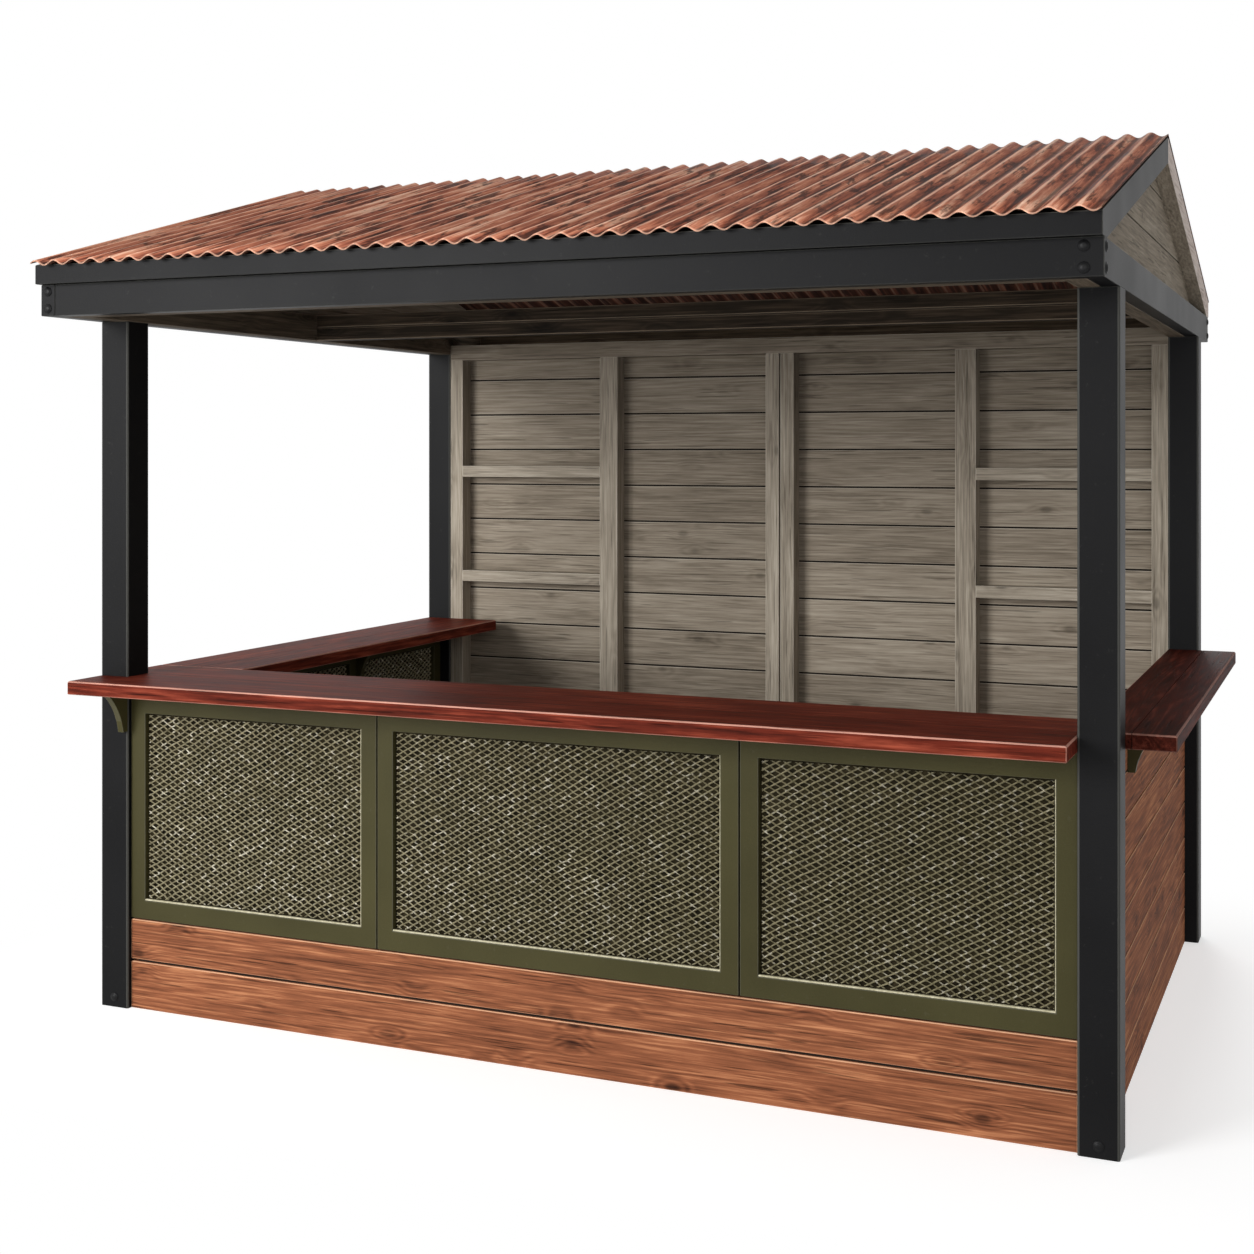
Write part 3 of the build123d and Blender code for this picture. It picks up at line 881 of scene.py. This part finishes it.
def mesh_cloth(low, high, run, face_at, outward):
    """Mesh over a window, on the backing's face at face_at, looking outward (1 or -1)."""
    across = 1 - run
    height = high.z - low.z
    lean = height * CELL_WIDTH / CELL_HEIGHT
    cloth = bmesh.new()
    for way in (1, -1):
        strands = [one_strand(height, way, lift * way) for lift in (1, -1)]
        for index in range(math.ceil((high[run] - low[run] + lean) / CELL_WIDTH) + 2):
            known = len(cloth.verts)
            cloth.from_mesh(strands[index % 2])
            cloth.verts.ensure_lookup_table()
            start = index * CELL_WIDTH - (lean if way == 1 else 0)
            bmesh.ops.translate(cloth, vec=(start, 0, 0), verts=cloth.verts[known:])
        for strand in strands:
            bpy.data.meshes.remove(strand)
    turn = Matrix.Identity(4) if run == 0 else Matrix.Rotation(math.radians(90), 4, "Z")
    bmesh.ops.transform(cloth, matrix=turn, verts=cloth.verts)
    corner = [0, 0, low.z]
    corner[run] = low[run]
    corner[across] = face_at + outward * STRAND
    bmesh.ops.translate(cloth, vec=corner, verts=cloth.verts)
    for vert in cloth.verts:
        wander = noise_vector(vert.co * BENDS_PER_METRE) * BEND
        wander += noise_vector(vert.co * KINKS_PER_METRE) * KINK
        wander[across] = 0
        vert.co += wander
    for axis in (run, 2):
        cut_away(cloth, axis, low[axis] + BORDER, True)
        cut_away(cloth, axis, high[axis] - BORDER, False)
    open_ends = [edge for edge in cloth.edges if edge.is_boundary]
    bmesh.ops.holes_fill(cloth, edges=open_ends, sides=0)
    bmesh.ops.recalc_face_normals(cloth, faces=cloth.faces)
    return cloth


print("diamonds to a metre", round(1 / CELL_WIDTH), "across and", round(1 / CELL_HEIGHT), "up")

# %% Mesh and backing in every panel
BEAD = 0.0045
BEAD_DEPTH = 0.008
BEAD_SETBACK = 0.001
BEAD_EDGE = 0.001
BACKING = 0.003


def two_beads(low, high, run):
    """The pale beads along the bottom and one side of a window, just behind the frame's face: a painted
    highlight.
    """
    across = 1 - run
    face_at = low[across] + BEAD_SETBACK
    bottom_high, side_low = Vector(high), Vector(low)
    bottom_high.z = low.z + BEAD
    side_low[run] = high[run] - BEAD / 2
    beads = []
    for start, end in ((Vector(low), bottom_high), (side_low, Vector(high))):
        start[across] = face_at
        end[across] = face_at + BEAD_DEPTH
        beads.append(block(start, end, BEAD_EDGE))
    return beads


def infill(name, node, frames, run):
    """The backing sheets and the mesh on both of their faces, for the panels along one side."""
    across = 1 - run
    slab_low, slab_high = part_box(node)
    middle = (slab_low[across] + slab_high[across]) / 2
    sheets, beads = [], []
    cloths = {-1: [], 1: []}
    for panel in frames:
        low, high = window(*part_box(panel), run)
        # Pale beads on two sides only: a painted highlight.
        beads += two_beads(low, high, run)
        for way in (-1, 1):
            cloths[way].append(mesh_cloth(low, high, run, middle + way * BACKING / 2, way))
        low[across] = middle - BACKING / 2
        high[across] = middle + BACKING / 2
        sheets.append(block(low, high))
    piece(name + "_backing", sheets, backing_finish, "mesh", node)
    piece(name + "_beads", beads, bead_highlight_finish, "green_paint")
    piece(name + "_wire_back", cloths[1], wire_finish, "mesh")
    piece(name + "_wire_face", cloths[-1], wire_finish, "mesh")


infill("front_mesh", "front_mesh", front_panels, 0)
infill("left_mesh", "left_mesh", left_panels, 1)

# %% [markdown]
# ## Bolts
# Two dome-headed bolts hold each end of the front, back and right beams, and one bolt holds each front post
# near its foot. A bolt head is a washer with a dome: a profile spun once round, then turned to its face.

# %% Bolt heads
BOLT_DROPS = (0.02, 0.069)
LEFT_INSET = 0.025
RIGHT_INSET = 0.045
SIDE_INSET = 0.03
FOOT_HEIGHT = 0.03


def bolt(spot, facing):
    """A bolt head on a washer at a spot, facing along a vector."""
    bm = bmesh.new()
    profile = [(0.014, 0), (0.014, 0.0012), (0.0105, 0.0015), (0.009, 0.0034), (0.0055, 0.0046), (0, 0.005)]
    verts = [bm.verts.new((radius, 0, height)) for radius, height in profile]
    edges = [bm.edges.new(pair) for pair in zip(verts, verts[1:])]
    bmesh.ops.spin(bm, geom=verts + edges, cent=(0, 0, 0), axis=(0, 0, 1), angle=2 * math.pi, steps=12,
                   use_merge=True)
    bmesh.ops.remove_doubles(bm, verts=bm.verts, dist=0.00001)
    bmesh.ops.holes_fill(bm, edges=bm.edges[:], sides=0)
    bmesh.ops.recalc_face_normals(bm, faces=bm.faces)
    turn = Vector((0, 0, 1)).rotation_difference(Vector(facing)).to_matrix().to_4x4()
    bmesh.ops.transform(bm, matrix=Matrix.Translation(spot) @ turn, verts=bm.verts)
    return bm


bolts = []
for node, facing in (("front_beam", (0, -1, 0)), ("back_beam", (0, 1, 0))):
    low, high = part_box(node)
    face_y = low.y if facing[1] < 0 else high.y
    for x in (low.x + LEFT_INSET, high.x - RIGHT_INSET):
        for drop in BOLT_DROPS:
            bolts.append(bolt((x, face_y, high.z - drop), facing))
low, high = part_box("right_beam")
for y in (low.y + SIDE_INSET, high.y - SIDE_INSET):
    for drop in BOLT_DROPS:
        bolts.append(bolt((high.x, y, high.z - drop), (1, 0, 0)))
for node in ("post_front_left", "post_front_right"):
    low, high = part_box(node)
    bolts.append(bolt(((low.x + high.x) / 2, low.y, FOOT_HEIGHT), (0, -1, 0)))
piece("bolts", bolts, bolt_finish, "charcoal_paint", smooth=True)

# %% [markdown]
# ## Floor and light
# The photograph is a studio picture: white all round, soft light from the front and a little from the left,
# and only a faint shadow at the feet. The floor is pale and takes the shadow. Far from the stall it fades
# into the white that the camera sees as background. That white is shown to the camera, to reflections and
# through glass only, so it doesn't add light to the stall. A lamp behind the stall lights its back, which
# the photograph's view doesn't show.

# %% Floor
def stage_light(tree):
    """1 for rays from the camera, for reflections and for rays through glass."""
    path = [tree.add("ShaderNodeLightPath", {}, {}, out=name)
            for name in ("Is Camera Ray", "Is Glossy Ray", "Is Transmission Ray")]
    return tree.maths("MAXIMUM", tree.maths("MAXIMUM", path[0], path[1]), path[2])


NEAR_FLOOR = (1.5, 1.05, 0)
FADE_START = -0.35
FADE_END = 0.8
FLOOR_LIFT = 0.4
FLOOR_REACH = 40
WHITE = (1, 1, 1, 1)
floor_material, tree = start_material("pale_floor")
spot = tree.add("ShaderNodeTexCoord", {}, {}, out=3)
outside = tree.add("ShaderNodeVectorMath", {"operation": "ABSOLUTE"}, {0: spot})
outside = tree.add("ShaderNodeVectorMath", {"operation": "SUBTRACT"}, {0: outside, 1: NEAR_FLOOR})
outside = tree.add("ShaderNodeVectorMath", {"operation": "MAXIMUM"}, {0: outside, 1: (0, 0, 0)})
distance = tree.add("ShaderNodeVectorMath", {"operation": "LENGTH"}, {0: outside}, out=1)
far = between(tree, distance, FADE_START, FADE_END)
mottle = noise(tree, spot, scale=3.0)
floor_colour = mixed(tree, mottle, (0.93, 0.93, 0.93, 1), (0.96, 0.96, 0.96, 1))
pale_floor = tree.add("ShaderNodeBsdfDiffuse", {}, {"Color": floor_colour})
white = tree.add("ShaderNodeEmission", {}, {"Color": WHITE, "Strength": 1.0})
lifted = tree.add("ShaderNodeEmission", {}, {"Color": WHITE, "Strength": stage_light(tree) * FLOOR_LIFT})
pale_floor = tree.add("ShaderNodeAddShader", {}, {0: pale_floor, 1: lifted})
shown = tree.add("ShaderNodeMixShader", {}, {0: far * stage_light(tree), 1: pale_floor, 2: white})
tree.add("ShaderNodeOutputMaterial", {}, {"Surface": shown})
floor_mesh = bpy.data.meshes.new("floor")
floor_bm = bmesh.new()
bmesh.ops.create_grid(floor_bm, x_segments=1, y_segments=1, size=FLOOR_REACH)
floor_bm.to_mesh(floor_mesh)
floor_bm.free()
floor_mesh.materials.append(floor_material)
floor = bpy.data.objects.new("floor", floor_mesh)
bpy.context.collection.objects.link(floor)
print("floor", floor.name)

# %% World
FILL = 0.4
world = bpy.data.worlds.new("studio")
bpy.context.scene.world = world
world.use_nodes = True
world.node_tree.nodes.clear()
tree = Finish(world.node_tree)
level = stage_light(tree) * (1 - FILL) + FILL
sky = tree.add("ShaderNodeBackground", {}, {"Color": WHITE, "Strength": level})
tree.add("ShaderNodeOutputWorld", {}, {"Surface": sky})
print("fill", FILL)

# %% Lamps
def soft_lamp(name, spot, aim, power, side):
    """A large square lamp that looks at a point."""
    lamp = bpy.data.lights.new(name, "AREA")
    lamp.size = side
    lamp.energy = power
    obj = bpy.data.objects.new(name, lamp)
    obj.location = spot
    obj.rotation_euler = (Vector(aim) - Vector(spot)).to_track_quat("-Z", "Y").to_euler()
    bpy.context.collection.objects.link(obj)


soft_lamp("front_left_lamp", (-4.2, -7.8, 3.0), (0, 0, 1.1), power=680, side=3.5)
soft_lamp("front_right_lamp", (3.0, -8.0, 2.6), (0, 0, 1.1), power=120, side=4.0)
soft_lamp("back_lamp", (-1.5, 8.5, 4.0), (0, 0, 1.2), power=350, side=4.0)
bpy.context.scene.view_settings.view_transform = "Standard"
print("lamps", [item.name for item in bpy.data.lights])
